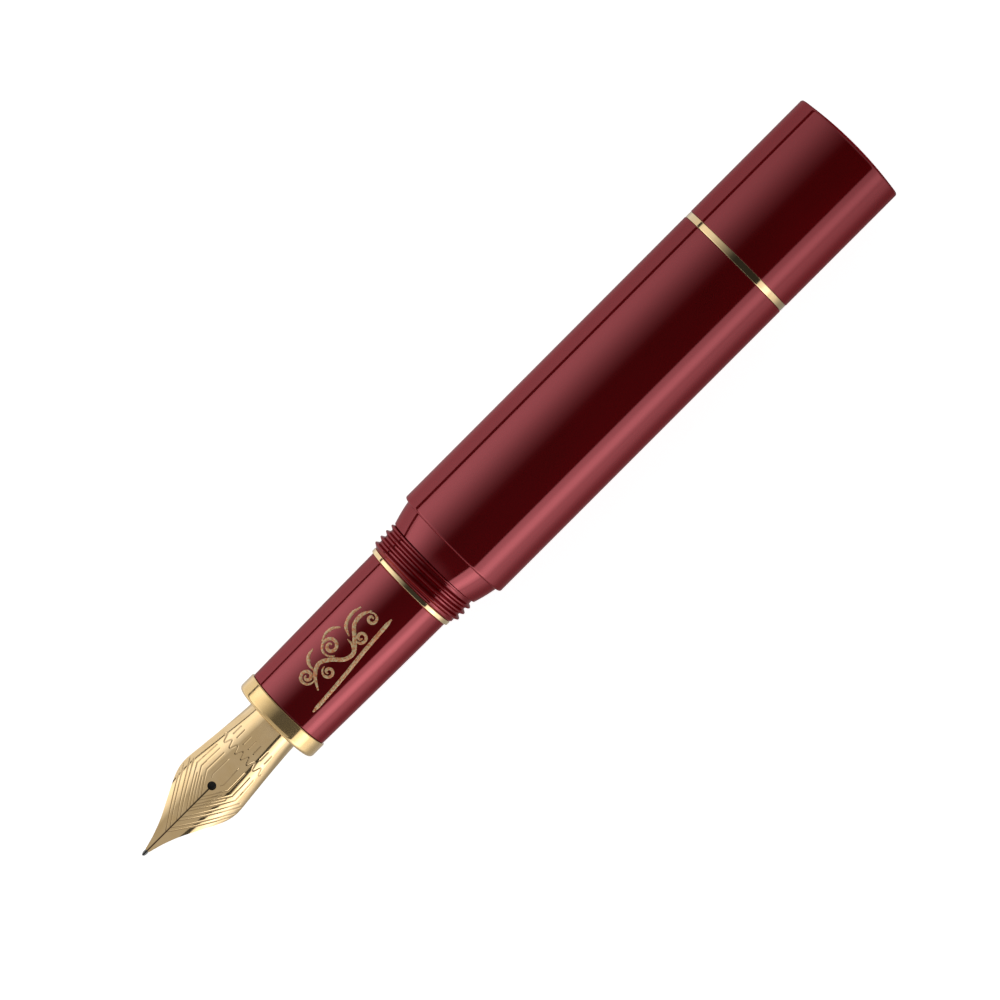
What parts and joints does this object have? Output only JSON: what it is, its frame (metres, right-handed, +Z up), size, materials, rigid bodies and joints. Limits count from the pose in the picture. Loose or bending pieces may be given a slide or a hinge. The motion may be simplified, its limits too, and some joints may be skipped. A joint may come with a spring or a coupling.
{
  "type": "fountain pen",
  "caption": "Uncapped piston-filling fountain pen with a gold nib on a finned feed, a threaded nose, a straight barrel and a turning end knob that drives the ink piston.",
  "frame": {"origin": "under the middle of the pen's length, on the surface that the barrel lies on", "axes": "+X from the nib's tip to the turning knob, +Z up through the nib's top face, +Y across the pen"},
  "size_m": [0.119, 0.0158, 0.0157],
  "materials": {
    "resin": "polished deep red resin",
    "gold": "polished gold",
    "brass": "turned brass",
    "tipping": "ground hard alloy",
    "ebonite": "satin black",
    "rubber": "greased rubber",
    "nylon": "moulded natural nylon"
  },
  "bodies": {
    "pen_body": {"nib": "gold", "tipping_left": "tipping", "tipping_right": "tipping", "feed": "ebonite", "nib_housing": "ebonite", "section_front_ring": "gold", "section": "resin", "section_o_ring": "rubber", "section_trim_ring": "gold", "barrel": "resin", "mechanism_sleeve": "brass", "sleeve_o_ring": "rubber", "thrust_washer": "nylon", "spindle_retainer": "brass", "tail_ring": "gold"},
    "piston_assembly": {"piston_head": "ebonite", "piston_front_o_ring": "rubber", "piston_rear_o_ring": "rubber", "piston_rod": "nylon"},
    "spindle_drive": {"spindle": "brass"},
    "knob_assembly": {"knob": "resin", "knob_insert": "brass"}
  },
  "joints": [
    {"name": "knob_turn", "type": "hinge", "parent": "pen_body", "child": "spindle_drive", "pos_m": [0.05, 0, 0.00787], "axis": [1, 0, 0], "range_deg": [0, 1080]},
    {"name": "knob_lift", "type": "slide", "parent": "spindle_drive", "child": "knob_assembly", "axis": [1, 0, 0], "range_m": [0, 0.003]},
    {"name": "piston_slide", "type": "slide", "parent": "pen_body", "child": "piston_assembly", "axis": [-1, 0, 0], "range_m": [0, 0.0217]}
  ],
  "couplings": [
    {"joint": "knob_lift", "follows": "knob_turn", "m_per_rad": 0.00015915},
    {"joint": "piston_slide", "follows": "knob_turn", "m_per_rad": 0.001151}
  ]
}
